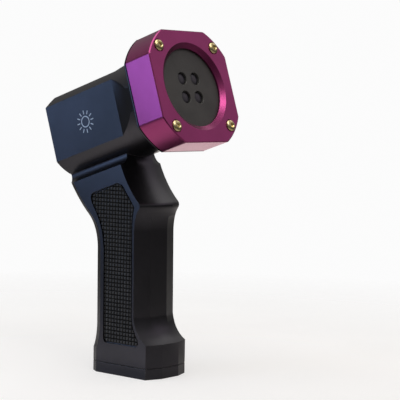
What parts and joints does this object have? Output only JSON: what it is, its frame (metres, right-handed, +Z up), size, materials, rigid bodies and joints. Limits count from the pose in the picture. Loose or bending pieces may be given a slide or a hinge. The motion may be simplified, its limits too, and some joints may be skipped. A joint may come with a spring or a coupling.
{
  "type": "handheld inspection lamp",
  "caption": "Pistol-grip ultraviolet inspection lamp: black metal body, purple front bezel, dark aperture plate, rear push-button and charging socket.",
  "frame": {"origin": "the middle of the grip's foot to within 1.5 mm, on the plane it stands on", "axes": "+Z up, -Y towards the beam's side, X left to right; the beam is tilted 17.9 degrees above -Y"},
  "size_m": [0.075, 0.1268, 0.2268],
  "materials": {
    "black_anodised": "satin",
    "purple_anodised": "satin",
    "plate_black": "matte",
    "brass": "satin",
    "stainless": "satin",
    "bare_aluminium": "satin",
    "pad_rubber": "matte",
    "seal_rubber": "matte",
    "filter_glass": "gloss",
    "ring_light": "satin",
    "board_green": "satin",
    "black_plastic": "matte",
    "white_nylon": "matte",
    "cell_wrap": "satin",
    "lead_jacket": "satin"
  },
  "bodies": {
    "lamp": {"housing": "black_anodised", "base_cap": "black_anodised", "bezel": "purple_anodised", "aperture_plate": "plate_black", "grip_pad_left": "pad_rubber", "grip_pad_right": "pad_rubber", "heat_sink": "bare_aluminium", "plate_spacer": "bare_aluminium", "led_board": "board_green", "driver_board": "board_green", "driver_inductor": "black_plastic", "driver_capacitor": "cell_wrap", "driver_chip": "black_plastic", "power_connector": "white_nylon", "head_seal": "seal_rubber", "base_seal": "seal_rubber", "switch_seal": "seal_rubber", "socket_seal": "seal_rubber", "switch_body": "stainless", "switch_light_ring": "ring_light", "switch_core": "black_plastic", "switch_spring": "stainless", "switch_nut": "stainless", "socket_shell": "stainless", "socket_insert": "brass", "socket_nut": "stainless", "battery_cell": "cell_wrap", "battery_spring": "stainless", "battery_spring_plate": "brass", "battery_top_contact": "brass", "led_lead": "lead_jacket", "battery_lead": "lead_jacket", "switch_lead": "lead_jacket", "socket_lead": "lead_jacket", "bezel_screw_1": "brass", "led_lens_1": "filter_glass", "uv_led_1": "white_nylon", "base_screw_1": "stainless", "bezel_screw_2": "brass", "led_lens_2": "filter_glass", "uv_led_2": "white_nylon", "base_screw_2": "stainless", "bezel_screw_3": "brass", "led_lens_3": "filter_glass", "uv_led_3": "white_nylon", "base_screw_3": "stainless", "bezel_screw_4": "brass", "led_lens_4": "filter_glass", "uv_led_4": "white_nylon", "base_screw_4": "stainless"},
    "button": {"switch_cap": "stainless", "switch_plunger": "black_plastic"}
  },
  "joints": [
    {"name": "button_press", "type": "slide", "parent": "lamp", "child": "button", "axis": [0, -0.9516, 0.3074], "range_m": [0, 0.002], "stiffness_N_per_m": 1500, "springref_m": -0.001, "deforming": ["switch_spring"]}
  ]
}
